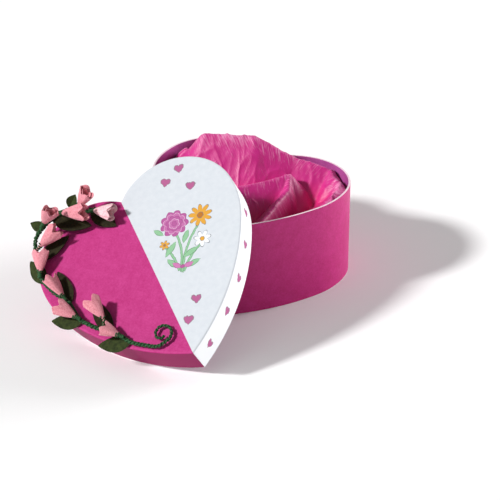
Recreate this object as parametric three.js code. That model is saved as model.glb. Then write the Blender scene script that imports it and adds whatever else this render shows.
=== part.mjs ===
// A heart-shaped cardboard box, open and lined with crumpled tissue paper. Its lid leans against the tip of
// the heart with one foot on the floor, and carries a garland of felt buds and velvet leaves on a wire stem.
// Millimetres, +Z up. The origin is on the floor, on the heart's axis, level with the middle of its lobes.
// The tip of the heart points to -Y.
import * as THREE from 'three';

const radians = THREE.MathUtils.degToRad;

// Driving dimensions of the box and its lid.
const boxWidth = 190;
const boxHeight = 90;
const boardThickness = 2;
const glueGap = 0.3;
const lidDepth = 28.5;
const lidSlack = 0.5;

// The heart: each half is a lobe, a shoulder and a side, three arcs that run into each other.
// Radii and offsets are shares of the box width, so the heart keeps its form at any width.
const lobeOffset = 0.2123 * boxWidth;
const shoulderRadius = 0.4367 * boxWidth;
const sideRadius = 1.0793 * boxWidth;
const shoulderTop = radians(7.4);
const shoulderFoot = radians(-22.8);
const lobeStep = radians(6);
const shoulderStep = radians(5);
const sideStep = radians(3);

// How the lid leans: its foot stands this far out from the place where it rests on the box.
const lidFootReach = 123.8;
const lidHeading = radians(-3);
const lidSpin = radians(51.9);
const restGap = 0.5;
const halvings = 50;

// Garland on the coloured half of the lid.
const stemRadius = 1.3;
const stemSides = 8;
const stemSteps = 96;
const stemLie = 2.3;
const curlRadius = 8.7;
const curlReach = 8;
const curlStart = radians(-95);
const curlTurn = radians(385);
const curlTightening = 0.7;
const curlPoints = 16;

// Felt buds. Scallop and profile widths are shares of a bud's length and of its mouth radius.
const budLength = 25;
const budStalk = 3;
const budStalkRadius = 0.9;
const budMouthRadius = 7.5;
const budFlattening = 0.72;
const budScallop = 0.2;
const budWall = 0.8;
const budSides = 12;
const budLobes = 3;
const budProfile = [
  { share: 0, radius: budStalkRadius },
  { share: 0.2, radius: 0.34 * budMouthRadius },
  { share: 0.6, radius: 0.7 * budMouthRadius },
  { share: 1, radius: budMouthRadius },
];

// Velvet leaves, blunt at both ends.
const leafLength = 30;
const leafWidth = 15;
const leafThickness = 0.8;
const leafBlunt = 0.02;
const leafFullness = 0.85;
const leafTipWidth = 1;
const leafStations = 8;
const trimGap = 0.4;

// Tissue paper.
const tissueThickness = 1.2;
const tissueClearance = 1;
const tissueRings = 8;
const tissueInnermost = 0.03;
const tissueHub = new THREE.Vector2(0, -0.15 * boxWidth);
const creaseRounding = 5;

// The three arcs of the right half, from the notch round to the tip, grown outwards by a given amount.
function heartArcs(grow) {
  const shoulderX = boxWidth / 2 - shoulderRadius;
  const lobeRadius = shoulderRadius + (shoulderX - lobeOffset) / Math.cos(shoulderTop);
  const shoulderY = (lobeRadius - shoulderRadius) * Math.sin(shoulderTop);
  const sideX = shoulderX + (shoulderRadius - sideRadius) * Math.cos(shoulderFoot);
  const sideY = shoulderY + (shoulderRadius - sideRadius) * Math.sin(shoulderFoot);
  const notchAngle = Math.acos(-lobeOffset / (lobeRadius + grow));
  const tipAngle = -Math.acos(-sideX / (sideRadius + grow));
  const lobe = { x: lobeOffset, y: 0, from: notchAngle, to: shoulderTop };
  const shoulder = { x: shoulderX, y: shoulderY, from: shoulderTop, to: shoulderFoot };
  const side = { x: sideX, y: sideY, from: shoulderFoot, to: tipAngle };
  return [
    { ...lobe, radius: lobeRadius + grow, step: lobeStep },
    { ...shoulder, radius: shoulderRadius + grow, step: shoulderStep },
    { ...side, radius: sideRadius + grow, step: sideStep },
  ];
}

function arcPoint(arc, angle) {
  return new THREE.Vector2(arc.x + arc.radius * Math.cos(angle), arc.y + arc.radius * Math.sin(angle));
}

// The closed heart, clockwise from the notch. Every outline has its corners at the same angles,
// so that nested outlines run parallel.
function heartOutline(grow) {
  const arcs = heartArcs(grow);
  const half = [];
  for (const arc of arcs) {
    half.push(arcPoint(arc, arc.from));
    const shortest = arc.step / 4;
    const first = Math.floor((arc.from - shortest) / arc.step);
    for (let k = first; k * arc.step > arc.to + shortest; k -= 1) {
      half.push(arcPoint(arc, k * arc.step));
    }
  }
  half.push(arcPoint(arcs[2], arcs[2].to));
  const mirrored = half.slice(1, -1).map((p) => new THREE.Vector2(-p.x, p.y));
  return [...half, ...mirrored.reverse()];
}

function heartSolid(outerGrow, height, innerGrow = null) {
  const shape = new THREE.Shape(heartOutline(outerGrow));
  if (innerGrow !== null) {
    shape.holes.push(new THREE.Path(heartOutline(innerGrow).reverse()));
  }
  return new THREE.ExtrudeGeometry(shape, { depth: height, bevelEnabled: false });
}

function material(colour, roughness) {
  return new THREE.MeshStandardMaterial({ color: colour, roughness, metalness: 0 });
}

const materials = {
  card: material('#b83078', 0.55),
  lidPaint: material('#d4438c', 0.5),
  tissue: material('#cc3d8c', 0.7),
  felt: material('#cc808d', 0.9),
  leaf: material('#37411e', 0.85),
  wire: material('#2f6b3c', 0.6),
};

function piece(name, geometry, surface) {
  const mesh = new THREE.Mesh(geometry, surface);
  mesh.name = name;
  return mesh;
}

// The box: a wall glued round the edge of a floor board.
function makeBox() {
  const box = new THREE.Group();
  const wall = heartSolid(0, boxHeight, -boardThickness);
  const floor = heartSolid(-boardThickness - glueGap, boardThickness);
  box.add(piece('box_wall', wall, materials.card));
  box.add(piece('box_floor', floor, materials.card));
  return box;
}

// The lid is made like the box. Its top face is at z = 0 of its own frame.
const lidGrow = lidSlack + boardThickness;

function makeLid() {
  const lid = new THREE.Group();
  const rim = heartSolid(lidGrow, lidDepth, lidSlack);
  rim.translate(0, 0, -lidDepth);
  const panel = heartSolid(lidSlack - glueGap, boardThickness);
  panel.translate(0, 0, -boardThickness);
  lid.add(piece('lid_rim', rim, materials.lidPaint));
  lid.add(piece('lid_panel', panel, materials.lidPaint));
  return lid;
}

function turned(points, angle) {
  const centre = new THREE.Vector2(0, 0);
  return points.map((p) => p.clone().rotateAround(centre, angle));
}

// Where a closed outline meets the line y = level: its leftmost and rightmost crossing.
function chordAt(points, level) {
  const crossings = [];
  points.forEach((a, i) => {
    const b = points[(i + 1) % points.length];
    if ((a.y > level) !== (b.y > level)) {
      crossings.push(a.x + (b.x - a.x) * (level - a.y) / (b.y - a.y));
    }
  });
  return { left: Math.min(...crossings), right: Math.max(...crossings) };
}

// The level, measured up from the tip, at which the box is as wide as the given chord.
function levelOfWidth(points, width, lowest, highest) {
  let low = lowest;
  let high = highest;
  for (let step = 0; step < halvings; step += 1) {
    const middle = (low + high) / 2;
    const chord = chordAt(points, middle);
    if (chord.right - chord.left < width) {
      low = middle;
    } else {
      high = middle;
    }
  }
  return low;
}

// The lid's rim stands with its lowest point on the floor and straddles the tip of the box, whose corner
// reaches up inside the lid. The lid slides in until its rim meets the wall on both sides, or until the
// corner meets the panel, whichever comes first.
function placeLid(lid) {
  const tilt = Math.atan2(boxHeight, lidFootReach);
  const slopeLength = Math.hypot(boxHeight, lidFootReach);
  const boxEdge = turned(heartOutline(0), -lidHeading);
  const rimInside = turned(heartOutline(lidSlack), lidSpin);
  const rimOutside = turned(heartOutline(lidGrow), lidSpin);
  const lowestOfRim = Math.min(...rimOutside.map((p) => p.y));
  const tipOfBox = Math.min(...boxEdge.map((p) => p.y));
  const lidChord = chordAt(rimInside, lowestOfRim + slopeLength);
  const roomInLid = lidChord.right - lidChord.left - 2 * restGap;
  const sideLevel = levelOfWidth(boxEdge, roomInLid, tipOfBox, 0);
  const cornerRoom = (lidDepth - boardThickness - restGap) / Math.sin(tilt);
  const level = Math.min(sideLevel, tipOfBox + cornerRoom);
  const boxChord = chordAt(boxEdge, level);

  const spun = new THREE.Group();
  spun.rotation.z = lidSpin;
  spun.position.set(0, -lowestOfRim, lidDepth);
  spun.add(lid);
  const tilted = new THREE.Group();
  tilted.rotation.x = tilt;
  const sideShift = (boxChord.left + boxChord.right - lidChord.left - lidChord.right) / 2;
  tilted.position.set(sideShift, level - lidFootReach, 0);
  tilted.add(spun);
  const headed = new THREE.Group();
  headed.rotation.z = lidHeading;
  headed.add(tilted);
  return headed;
}

// A point near the left edge of the lid: a share of the way from the notch to the tip, then inwards from
// the edge, then up from the face.
function edgePoint({ along, inset, rise }) {
  const arcs = heartArcs(lidGrow);
  const lengths = arcs.map((arc) => arc.radius * (arc.from - arc.to));
  let rest = along * lengths.reduce((sum, length) => sum + length, 0);
  let index = 0;
  while (index < arcs.length - 1 && rest > lengths[index]) {
    rest -= lengths[index];
    index += 1;
  }
  const arc = arcs[index];
  const p = arcPoint({ ...arc, radius: arc.radius - inset }, arc.from - rest / arc.radius);
  return new THREE.Vector3(-p.x, p.y, stemRadius + stemLie + rise);
}

// The stem keeps to the edge of the lid, arching off it round the lobe, and ends in a curl near the tip.
const stemRoute = [
  { along: 0.089, inset: 11, rise: 1 },
  { along: 0.121, inset: 9, rise: 3 },
  { along: 0.15, inset: 3, rise: 6 },
  { along: 0.199, inset: 0.5, rise: 8 },
  { along: 0.245, inset: -1, rise: 9 },
  { along: 0.282, inset: -3, rise: 8 },
  { along: 0.315, inset: -2, rise: 3 },
  { along: 0.346, inset: 2, rise: 1 },
  { along: 0.405, inset: 3.5, rise: 0.5 },
  { along: 0.485, inset: 9.5, rise: 0.5 },
  { along: 0.552, inset: 13, rise: 1 },
  { along: 0.622, inset: 6.5, rise: 1 },
  { along: 0.69, inset: 6.5, rise: 1 },
  { along: 0.773, inset: 7, rise: 1 },
  { along: 0.813, inset: 4, rise: 1 },
  { along: 0.85, inset: 4, rise: 0.5 },
  { along: 0.896, inset: 4.5, rise: 0 },
];

function stemCurve() {
  const points = stemRoute.map(edgePoint);
  const end = points[points.length - 1];
  const centre = new THREE.Vector3(end.x + curlReach, end.y + curlRadius, end.z);
  for (let k = 0; k <= curlPoints; k += 1) {
    const share = k / curlPoints;
    const angle = curlStart + curlTurn * share;
    const radius = curlRadius * (1 - curlTightening * share * share);
    const offset = new THREE.Vector3(radius * Math.cos(angle), radius * Math.sin(angle), 0);
    points.push(centre.clone().add(offset));
  }
  return new THREE.CatmullRomCurve3(points);
}

function makeStem(curve) {
  const section = new THREE.Shape();
  for (let k = 0; k < stemSides; k += 1) {
    const angle = 2 * Math.PI * k / stemSides;
    const place = [stemRadius * Math.cos(angle), stemRadius * Math.sin(angle)];
    if (k === 0) {
      section.moveTo(...place);
    } else {
      section.lineTo(...place);
    }
  }
  section.closePath();
  return new THREE.ExtrudeGeometry(section, { steps: stemSteps, extrudePath: curve, bevelEnabled: false });
}

// A closed skin over rings of points, each ring with as many points as the next, ended by flat fans.
function skinOver(rings) {
  const count = rings[0].length;
  const positions = rings.flat().flatMap((p) => [p.x, p.y, p.z]);
  const faces = [];
  for (let r = 0; r < rings.length - 1; r += 1) {
    for (let k = 0; k < count; k += 1) {
      const a = r * count + k;
      const b = r * count + (k + 1) % count;
      faces.push(a, b, b + count, a, b + count, a + count);
    }
  }
  const last = (rings.length - 1) * count;
  for (let k = 1; k < count - 1; k += 1) {
    faces.push(0, k + 1, k);
    faces.push(last, last + k, last + k + 1);
  }
  const geometry = new THREE.BufferGeometry();
  geometry.setAttribute('position', new THREE.Float32BufferAttribute(positions, 3));
  geometry.setIndex(faces);
  return geometry;
}

// One ring of a bud: its distance along the bud and its radius, with lobes as far as it is scalloped.
function budRing(distance, radius, scallop) {
  const ring = [];
  for (let k = 0; k < budSides; k += 1) {
    const angle = 2 * Math.PI * k / budSides;
    const drop = scallop * (1 - Math.abs(Math.cos(budLobes * angle / 2)));
    const y = radius * Math.cos(angle);
    const z = radius * budFlattening * Math.sin(angle);
    ring.push(new THREE.Vector3(distance - drop, y, z));
  }
  return ring;
}

// A felt bud: a stalk, then a trumpet with an open scalloped mouth. It points along +X from the stem, set
// over to the side where its stalk bends. Stretch, stalk and bend are multiples of the usual bud's length,
// stalk and mouth radius.
function makeBud({ stretch, stalk = 1, bend = 0 }) {
  const length = stretch * budLength;
  const flareStart = stalk * budStalk;
  const flare = length - flareStart;
  const scallop = budScallop * length;
  const rings = [budRing(0, budStalkRadius, 0)];
  budProfile.forEach(({ share, radius }) => {
    rings.push(budRing(flareStart + share * flare, radius, share * share * scallop));
  });
  budProfile.slice(1).reverse().forEach(({ share, radius }) => {
    rings.push(budRing(flareStart + share * flare, radius - budWall, share * share * scallop));
  });
  rings.slice(1).flat().forEach((p) => p.setY(p.y + bend * budMouthRadius));
  return skinOver(rings);
}

// A velvet leaf: a pointed oval, creased along the middle. It points along +X from the stem. Stretch and
// breadth are multiples of the usual leaf's length and width, and crease is how far its edges stand up.
function makeLeaf({ stretch, breadth, crease }) {
  const length = stretch * leafLength;
  const halfWidth = breadth * leafWidth / 2;
  const rings = [];
  for (let k = 0; k <= leafStations; k += 1) {
    const share = leafBlunt + (1 - 2 * leafBlunt) * k / leafStations;
    const half = Math.max(halfWidth * Math.sin(Math.PI * share ** leafFullness), leafTipWidth / 2);
    const x = share * length;
    const edge = crease * half / halfWidth;
    rings.push([
      new THREE.Vector3(x, -half, edge),
      new THREE.Vector3(x, -half, edge - leafThickness),
      new THREE.Vector3(x, 0, -leafThickness),
      new THREE.Vector3(x, half, edge - leafThickness),
      new THREE.Vector3(x, half, edge),
      new THREE.Vector3(x, 0, 0),
    ]);
  }
  return skinOver(rings);
}

// Buds and leaves: their place as a share of the stem's length, the way they point over the lid's face,
// counted in degrees from the lid's +X, how steeply they rise, and a roll about their own length.
const buds = [
  { at: 0.002, point: -46, rise: 10, roll: 10, stretch: 1.12 },
  { at: 0.104, point: -40, rise: 11, roll: 40, stretch: 1.32 },
  { at: 0.042, point: -8, rise: 46, roll: 20, stretch: 1.08 },
  { at: 0.166, point: -10, rise: 45, roll: 80, stretch: 1 },
  { at: 0.249, point: 8, rise: 14, roll: 30, stretch: 1.24, stalk: 2 },
  { at: 0.337, point: 61, rise: 14, roll: 0, stretch: 1 },
  { at: 0.466, point: 100, rise: 12, roll: 50, stretch: 1.12 },
  { at: 0.552, point: 123, rise: 13, roll: 10, stretch: 1.04 },
  { at: 0.642, point: 99, rise: 18, roll: 0, stretch: 1.24, stalk: 2.5, bend: -0.8 },
  { at: 0.712, point: 128, rise: 12, roll: 30, stretch: 0.84 },
];
const leaves = [
  { at: 0.006, point: -60, rise: -2, roll: 0, stretch: 1.03, breadth: 1, crease: 0 },
  { at: 0.131, point: -38, rise: -9, roll: 5, stretch: 1.25, breadth: 1.07, crease: 1 },
  { at: 0.067, point: 20, rise: 30, roll: 20, stretch: 0.45, breadth: 0.67, crease: 1.5, over: true },
  { at: 0.167, point: 126, rise: 8, roll: -10, stretch: 0.5, breadth: 0.67, crease: -1.5 },
  { at: 0.275, point: 13, rise: 1, roll: 0, stretch: 1.17, breadth: 0.93, crease: 1 },
  { at: 0.355, point: 98, rise: 1, roll: -6, stretch: 0.97, breadth: 0.93, crease: -1 },
  { at: 0.479, point: 88, rise: 0, roll: 0, stretch: 1.27, breadth: 1, crease: -0.3 },
  { at: 0.555, point: 146, rise: 0, roll: -4, stretch: 1, breadth: 1, crease: -1 },
  { at: 0.663, point: 94, rise: 0, roll: 0, stretch: 1.37, breadth: 1, crease: -0.3 },
  { at: 0.734, point: 153, rise: 0, roll: -4, stretch: 1, breadth: 1, crease: -1 },
];

// Sets a bud or leaf on the stem, pointing the given way. Buds start on top of the wire, leaves below it.
function growFromStem(mesh, curve, { at, point, rise, roll }, lift) {
  const holder = new THREE.Group();
  holder.rotation.order = 'ZYX';
  holder.rotation.set(radians(roll), -radians(rise), radians(point));
  holder.position.copy(curve.getPointAt(at));
  holder.position.z += lift;
  holder.add(mesh);
  return holder;
}

function makeGarland() {
  const garland = new THREE.Group();
  const curve = stemCurve();
  garland.add(piece('garland_wire', makeStem(curve), materials.wire));
  buds.forEach((bud, i) => {
    const mesh = piece(`flower_${i + 1}`, makeBud(bud), materials.felt);
    garland.add(growFromStem(mesh, curve, bud, stemRadius + trimGap + budStalkRadius));
  });
  leaves.forEach((leaf, i) => {
    const mesh = piece(`leaf_${i + 1}`, makeLeaf(leaf), materials.leaf);
    const lift = leaf.over ? stemRadius + trimGap + leafThickness : -stemRadius - trimGap;
    garland.add(growFromStem(mesh, curve, leaf, lift));
  });
  return garland;
}

// The creases of the tissue, each a straight ridge between two places. Places are shares of half the box
// width, heights are above the rim of the box, and the paper falls away from a ridge at its slope.
const ridges = [
  { from: [-0.61, 0.07], to: [-0.14, 0.24], rise: [22, 24], slope: 1.3 },
  { from: [-0.14, 0.24], to: [0.26, 0.37], rise: [24, 5], slope: 1.3 },
  { from: [0.26, 0.37], to: [0.6, 0.45], rise: [5, -2], slope: 1.2 },
  { from: [0.6, 0.45], to: [0.86, 0.23], rise: [-2, -6], slope: 1.2 },
  { from: [-0.85, 0.09], to: [-0.41, -0.05], rise: [0, 3], slope: 1.4 },
  { from: [0, -0.3], to: [0.31, 0.12], rise: [-4, 0], slope: 1.6 },
  { from: [0.31, 0.12], to: [0.4, -0.04], rise: [0, -8], slope: 1.8 },
  { from: [0.4, -0.04], to: [0.45, -0.6], rise: [-8, -13], slope: 1.8 },
  { from: [-0.7, -0.25], to: [-0.25, -0.6], rise: [-10, -25], slope: 1.3 },
];

function tissueHeight(x, y) {
  const half = boxWidth / 2;
  const heights = ridges.map(({ from, to, rise, slope }) => {
    const a = new THREE.Vector2(...from).multiplyScalar(half);
    const b = new THREE.Vector2(...to).multiplyScalar(half);
    const run = b.clone().sub(a);
    const place = new THREE.Vector2(x, y).sub(a);
    const share = THREE.MathUtils.clamp(place.dot(run) / run.lengthSq(), 0, 1);
    const away = place.addScaledVector(run, -share).length();
    const fall = slope * (Math.hypot(away, creaseRounding) - creaseRounding);
    return boxHeight + THREE.MathUtils.lerp(rise[0], rise[1], share) - fall;
  });
  const lowest = boardThickness + glueGap + tissueThickness;
  return Math.max(lowest, ...heights);
}

// The tissue is a thin sheet over the whole inside of the box, down to the floor board in its hollows.
function makeTissue() {
  const edge = heartOutline(-boardThickness - tissueClearance);
  const upper = [];
  for (let ring = 0; ring < tissueRings; ring += 1) {
    const share = tissueInnermost + (1 - tissueInnermost) * ring / (tissueRings - 1);
    upper.push(edge.map((p) => {
      const place = tissueHub.clone().lerp(p, share);
      return new THREE.Vector3(place.x, place.y, tissueHeight(place.x, place.y));
    }));
  }
  const lower = upper.map((ring) => ring.map((p) => new THREE.Vector3(p.x, p.y, p.z - tissueThickness)));
  return skinOver([...upper, ...lower.reverse()]);
}

const giftBox = new THREE.Group();
giftBox.add(makeBox());
giftBox.add(piece('tissue_paper', makeTissue(), materials.tissue));
const lid = makeLid();
lid.add(makeGarland());
giftBox.add(placeLid(lid));

export default giftBox;
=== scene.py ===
# %% [markdown]
# # A heart-shaped cardboard gift box
# A craft-shop box of 2 mm card, painted magenta, stands open and full of crumpled tissue paper. Its lid,
# half magenta and half white, leans against the tip of the heart. Felt buds and velvet leaves are wound
# into a twisted green stem along one edge of the lid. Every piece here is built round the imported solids,
# in metres.

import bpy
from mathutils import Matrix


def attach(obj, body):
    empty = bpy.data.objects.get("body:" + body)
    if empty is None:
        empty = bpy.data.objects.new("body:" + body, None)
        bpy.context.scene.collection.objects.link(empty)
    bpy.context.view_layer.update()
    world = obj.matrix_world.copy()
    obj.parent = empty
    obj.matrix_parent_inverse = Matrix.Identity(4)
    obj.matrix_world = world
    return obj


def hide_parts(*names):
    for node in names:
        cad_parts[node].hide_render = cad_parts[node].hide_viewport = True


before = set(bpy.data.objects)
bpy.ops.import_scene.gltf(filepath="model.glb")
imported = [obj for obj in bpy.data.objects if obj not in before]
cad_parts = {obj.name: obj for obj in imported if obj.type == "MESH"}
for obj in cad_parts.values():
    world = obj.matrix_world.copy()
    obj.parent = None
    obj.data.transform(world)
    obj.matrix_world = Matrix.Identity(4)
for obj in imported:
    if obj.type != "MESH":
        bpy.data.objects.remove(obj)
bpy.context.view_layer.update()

# %% Imports and the millimetre
import math

import bpy
import numpy as np
from mathutils import Matrix, Vector, noise

MM = 0.001

# %% [markdown]
# ## The camera
# The photograph was taken with a long lens from a little above, to the right of the heart's tip. A long
# lens keeps the far rim of the box almost as wide as the near one. The place and the lens were found by
# matching points on the outline, so the camera only has to be put there and turned to its target.

# %% Add the camera
CAMERA_PLACE = Vector((0.79255, -1.34845, 0.86837))
CAMERA_TARGET = Vector((-0.00809, 0.00630, 0.0))
CAMERA_LENS_MM = 134.6
bpy.ops.object.camera_add(location=CAMERA_PLACE)
camera = bpy.context.object
camera.name = "photo_camera"
camera.rotation_euler = (CAMERA_TARGET - CAMERA_PLACE).to_track_quat("-Z", "Y").to_euler()
camera.data.lens = CAMERA_LENS_MM
camera.data.sensor_width = 36
bpy.context.scene.camera = camera
print("camera distance", round((CAMERA_TARGET - CAMERA_PLACE).length, 3), "m")

# %% [markdown]
# ## Small helpers for modelling
# An operator works on whatever is selected, so each piece starts with nothing selected. These few helpers
# enter and leave edit mode, pick faces or edges by where they are, and apply modifiers, as one would by
# hand.

# %% Helpers that select and edit
def deselect():
    if bpy.context.object and bpy.context.object.mode != "OBJECT":
        bpy.ops.object.mode_set(mode="OBJECT")
    bpy.ops.object.select_all(action="DESELECT")


def edit(kind="EDGE", action="SELECT"):
    """Enters edit mode on the active object, in one select mode, with all or nothing selected."""
    bpy.ops.object.mode_set(mode="EDIT")
    bpy.ops.mesh.select_mode(type=kind)
    bpy.ops.mesh.select_all(action=action)


def leave():
    bpy.ops.object.mode_set(mode="OBJECT")


def pick_faces(obj, test):
    """In edit mode, selects the faces whose centre and normal pass a test."""
    edit("FACE", "DESELECT")
    leave()
    for face in obj.data.polygons:
        face.select = test(face.center, face.normal)
    bpy.ops.object.mode_set(mode="EDIT")


def pick_edges(obj, test):
    """In edit mode, selects the edges whose two ends pass a test."""
    edit("EDGE", "DESELECT")
    leave()
    points = obj.data.vertices
    for edge in obj.data.edges:
        edge.select = all(test(points[i].co) for i in edge.vertices)
    bpy.ops.object.mode_set(mode="EDIT")


# %% Apply modifiers and finish a mesh
def modify(obj, kind, **settings):
    """Adds a modifier with its settings and applies it."""
    bpy.context.view_layer.objects.active = obj
    bpy.ops.object.modifier_add(type=kind)
    modifier = obj.modifiers[-1]
    for key, value in settings.items():
        setattr(modifier, key, value)
    bpy.ops.object.modifier_apply(modifier=modifier.name)


def face_out(obj):
    bpy.context.view_layer.objects.active = obj
    edit("FACE")
    bpy.ops.mesh.normals_make_consistent(inside=False)
    leave()


def soften(obj, angle=40):
    """Smooth shading, apart from edges sharper than an angle."""
    deselect()
    obj.select_set(True)
    bpy.context.view_layer.objects.active = obj
    bpy.ops.object.shade_smooth_by_angle(angle=math.radians(angle))


def settle(obj, matrix=None):
    """Puts the piece's place into its mesh, so that its object sits at the origin, unturned."""
    obj.data.transform((matrix or Matrix.Identity(4)) @ obj.matrix_basis)
    obj.matrix_basis = Matrix.Identity(4)
    obj.data.update()


# %% Hand a finished piece to the frame
def finish_piece(obj, name, nodes=(), materials=()):
    obj.name = obj.data.name = name
    for material in materials:
        obj.data.materials.append(material)
    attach(obj, "root")
    if nodes:
        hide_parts(*nodes)
    obj.data.calc_loop_triangles()
    print(name, len(obj.data.loop_triangles), "triangles")


# %% [markdown]
# ## Helpers for materials
# Colours are read as sRGB hex values, as a paint chart gives them, and turned to linear light once. One
# function adds a node, with its settings and with values or other nodes' outputs for its inputs.

# %% Colour and node helpers
def colour(code):
    """An sRGB hex code as a linear colour with alpha."""
    parts = [int(code[i:i + 2], 16) / 255 for i in (1, 3, 5)]
    return [x / 12.92 if x <= 0.04045 else ((x + 0.055) / 1.055) ** 2.4 for x in parts] + [1.0]


def add(tree, kind, inputs=(), out=0, **settings):
    """Adds a node and returns one of its outputs. Inputs are pairs of a name or number and a value."""
    node = tree.nodes.new("ShaderNode" + kind)
    for key, value in settings.items():
        setattr(node, key, value)
    for key, value in inputs:
        if isinstance(value, bpy.types.NodeSocket):
            tree.links.new(value, node.inputs[key])
        else:
            node.inputs[key].default_value = value
    return node.outputs[out]


# %% Start a material
def new_material(name, roughness, **sockets):
    """A material with one Principled shader, its constants set on the shader's own sockets."""
    material = bpy.data.materials.new(name)
    material.use_nodes = True
    shader = material.node_tree.nodes["Principled BSDF"]
    shader.inputs["Roughness"].default_value = roughness
    for key, value in sockets.items():
        shader.inputs[key.replace("_", " ")].default_value = value
    return material, material.node_tree, shader


def cycles_per_metre(size_mm):
    """The Scale of a noise texture whose blotches are about this big."""
    return 1 / (size_mm * MM)


# %% [markdown]
# ## Painted card
# Card boxes like this are pressed from grey board and painted with craft acrylic. The paint dries to a
# soft satin film, a little mottled where it was thin, over the faint tooth of the board. So the base
# colour gets a blotchy noise, and two fine noises go into the bump: one for the tooth, one for the lap of
# the brush.

# %% Painted card
def card_surface(tree, shader, low, high, blotch=9, tooth=0.05):
    """Mottles a paint colour between two shades and gives the board's tooth to the bump."""
    place = add(tree, "TexCoord", out=3)
    cloud = add(tree, "TexNoise", [("Vector", place), ("Scale", cycles_per_metre(blotch)), ("Detail", 5.0),
                                   ("Roughness", 0.62)])
    speck = add(tree, "TexNoise", [("Vector", place), ("Scale", cycles_per_metre(1.6)), ("Detail", 3.0)])
    blend = add(tree, "Math", [(0, cloud), (1, speck)], operation="ADD")
    share = add(tree, "MapRange", [("Value", blend), ("From Min", 0.7), ("From Max", 1.3)])
    paint = add(tree, "Mix", [("Factor", share), (6, low), (7, high)], out=2, data_type="RGBA")
    grain = add(tree, "TexNoise", [("Vector", place), ("Scale", cycles_per_metre(0.7)), ("Detail", 4.0)])
    tooth_bump = add(tree, "Bump", [("Strength", 0.35), ("Distance", tooth * MM), ("Height", grain)])
    laps = add(tree, "TexNoise", [("Vector", place), ("Scale", cycles_per_metre(14)), ("Detail", 1.0)])
    bump = add(tree, "Bump", [("Strength", 0.5), ("Distance", 0.25 * MM), ("Height", laps),
                              ("Normal", tooth_bump)])
    tree.links.new(bump, shader.inputs["Normal"])
    return place, paint


# %% Three finishes of the card
magenta_card, tree, shader = new_material("magenta acrylic on card", 0.46, Specular_IOR_Level=0.3)
_, paint = card_surface(tree, shader, colour("#b5186a"), colour("#c62a80"))
tree.links.new(paint, shader.inputs["Base Color"])

inside_card, tree, shader = new_material("thin lilac paint inside", 0.34, Specular_IOR_Level=0.6)
_, paint = card_surface(tree, shader, colour("#a2458a"), colour("#b65ca2"), blotch=14)
tree.links.new(paint, shader.inputs["Base Color"])

cut_card, tree, shader = new_material("cut edge of the card", 0.8)
_, paint = card_surface(tree, shader, colour("#e6c4d2"), colour("#f4dfe6"), blotch=4)
tree.links.new(paint, shader.inputs["Base Color"])
print("card finishes:", magenta_card.name, inside_card.name, cut_card.name)

# %% [markdown]
# ## The heart's outline
# Each half of the heart is three arcs that run into each other: a lobe, a shoulder and a long side. By
# hand one would spin a single point about three centres in turn and mirror the result. Spinning gives
# true arcs, and a wall that is grown by a few tenths of a millimetre needs only other radii.

# %% Arcs of the heart
BOX_WIDTH = 190
BOX_HEIGHT = 90
BOARD = 2
GLUE_GAP = 0.3
LID_DEPTH = 28.5
LID_SLACK = 0.5
LID_GROW = LID_SLACK + BOARD
LOBE_OFFSET = 0.2123 * BOX_WIDTH
SHOULDER_RADIUS = 0.4367 * BOX_WIDTH
SIDE_RADIUS = 1.0793 * BOX_WIDTH
SHOULDER_TOP = math.radians(7.4)
SHOULDER_FOOT = math.radians(-22.8)


def heart_arcs(grow):
    """Centre, radius, first and last angle of the arcs of the right half, from notch to tip, in mm."""
    shoulder_x = BOX_WIDTH / 2 - SHOULDER_RADIUS
    lobe_radius = SHOULDER_RADIUS + (shoulder_x - LOBE_OFFSET) / math.cos(SHOULDER_TOP)
    shoulder_y = (lobe_radius - SHOULDER_RADIUS) * math.sin(SHOULDER_TOP)
    side_x = shoulder_x + (SHOULDER_RADIUS - SIDE_RADIUS) * math.cos(SHOULDER_FOOT)
    side_y = shoulder_y + (SHOULDER_RADIUS - SIDE_RADIUS) * math.sin(SHOULDER_FOOT)
    notch = math.acos(-LOBE_OFFSET / (lobe_radius + grow))
    tip = -math.acos(-side_x / (SIDE_RADIUS + grow))
    return [
        (LOBE_OFFSET, 0, lobe_radius + grow, notch, SHOULDER_TOP),
        (shoulder_x, shoulder_y, SHOULDER_RADIUS + grow, SHOULDER_TOP, SHOULDER_FOOT),
        (side_x, side_y, SIDE_RADIUS + grow, SHOULDER_FOOT, tip),
    ]


# %% Draw the outline by spins and a mirror
def heart_line(grow, step_mm=3.0):
    """Draws the closed outline at z = 0 as a chain of edges: one point, three spins and a mirror."""
    deselect()
    arcs = heart_arcs(grow)
    x, y, radius, start, end = arcs[0]
    first = (0, (y + radius * math.sin(start)) * MM, 0)
    bpy.ops.mesh.primitive_plane_add(size=MM, location=first)
    obj = bpy.context.object
    edit("VERT")
    bpy.ops.mesh.merge(type="CENTER")
    for x, y, radius, start, end in arcs:
        steps = max(4, round(radius * (start - end) / step_mm))
        bpy.ops.mesh.spin(steps=steps, angle=start - end, center=(x * MM, y * MM, 0), axis=(0, 0, 1))
    leave()
    bpy.ops.object.transform_apply(location=True, rotation=True, scale=True)
    modify(obj, "MIRROR", use_clip=True, merge_threshold=0.0001)
    return obj


print("half of the outline has", len(heart_arcs(0)), "arcs")

# %% [markdown]
# ## Light and floor
# The box was lit by one lamp from the front left, fairly low, which throws its shadow far out to the
# right, by a wide soft light from behind on the right, and by faint light from all round. The floor is
# plain and pale.

# %% The floor
bpy.ops.mesh.primitive_plane_add(size=8, location=(0, 0, -0.0002))
floor = bpy.context.object
floor.name = "floor"
floor_paper, tree, shader = new_material("white paper sweep", 0.9, Base_Color=colour("#ffffff"),
                                         Specular_IOR_Level=0.1)
floor.data.materials.append(floor_paper)


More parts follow.
